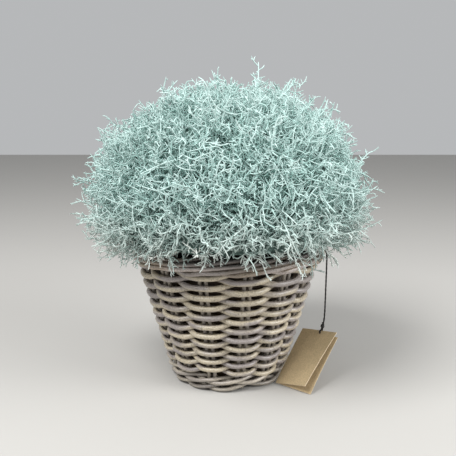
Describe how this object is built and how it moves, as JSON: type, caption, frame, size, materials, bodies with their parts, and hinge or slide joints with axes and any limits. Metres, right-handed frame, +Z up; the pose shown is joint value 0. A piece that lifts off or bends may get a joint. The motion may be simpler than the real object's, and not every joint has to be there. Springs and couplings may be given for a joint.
{
  "type": "potted cushion bush",
  "caption": "Dome of wiry silver forked twigs in a flared rattan basket woven over paired stakes, with plastic liner, soil and a blank folded card tag on a string.",
  "frame": {"origin": "middle of the basket's flat underside, on the surface it stands on", "axes": "+Z up along the basket's axis; -Y towards the viewer of the picture; +X to the viewer's right, the side where the tag hangs"},
  "size_m": [0.4182, 0.399, 0.4383],
  "materials": {
    "stake_rattan": "matte",
    "wale_rattan": "matte",
    "weave_rattan": "matte",
    "border_rattan": "matte",
    "base_rattan": "matte",
    "liner_plastic": "satin",
    "potting_soil": "matte",
    "silver_twigs": "matte",
    "cotton_string": "matte",
    "kraft_card": "matte"
  },
  "bodies": {
    "root": {"stake_01_left": "stake_rattan", "stake_01_right": "stake_rattan", "stake_02_left": "stake_rattan", "stake_02_right": "stake_rattan", "stake_03_left": "stake_rattan", "stake_03_right": "stake_rattan", "stake_04_left": "stake_rattan", "stake_04_right": "stake_rattan", "stake_05_left": "stake_rattan", "stake_05_right": "stake_rattan", "stake_06_left": "stake_rattan", "stake_06_right": "stake_rattan", "stake_07_left": "stake_rattan", "stake_07_right": "stake_rattan", "stake_08_left": "stake_rattan", "stake_08_right": "stake_rattan", "stake_09_left": "stake_rattan", "stake_09_right": "stake_rattan", "stake_10_left": "stake_rattan", "stake_10_right": "stake_rattan", "stake_11_left": "stake_rattan", "stake_11_right": "stake_rattan", "stake_12_left": "stake_rattan", "stake_12_right": "stake_rattan", "stake_13_left": "stake_rattan", "stake_13_right": "stake_rattan", "foot_wale_1_rod_1": "wale_rattan", "foot_wale_1_rod_2": "wale_rattan", "foot_wale_1_rod_3": "wale_rattan", "foot_wale_2_rod_1": "wale_rattan", "foot_wale_2_rod_2": "wale_rattan", "foot_wale_2_rod_3": "wale_rattan", "wall_weaver_1": "weave_rattan", "wall_weaver_2": "weave_rattan", "wall_weaver_3": "weave_rattan", "wall_weaver_4": "weave_rattan", "wall_weaver_5": "weave_rattan", "border_rod_01": "border_rattan", "border_rod_02": "border_rattan", "border_rod_03": "border_rattan", "border_rod_04": "border_rattan", "border_rod_05": "border_rattan", "border_rod_06": "border_rattan", "border_rod_07": "border_rattan", "border_rod_08": "border_rattan", "border_rod_09": "border_rattan", "border_rod_10": "border_rattan", "border_rod_11": "border_rattan", "border_rod_12": "border_rattan", "border_rod_13": "border_rattan", "base": "base_rattan", "liner": "liner_plastic", "soil": "potting_soil", "cushion_bush": "silver_twigs", "string": "cotton_string", "tag": "kraft_card"}
  },
  "joints": []
}
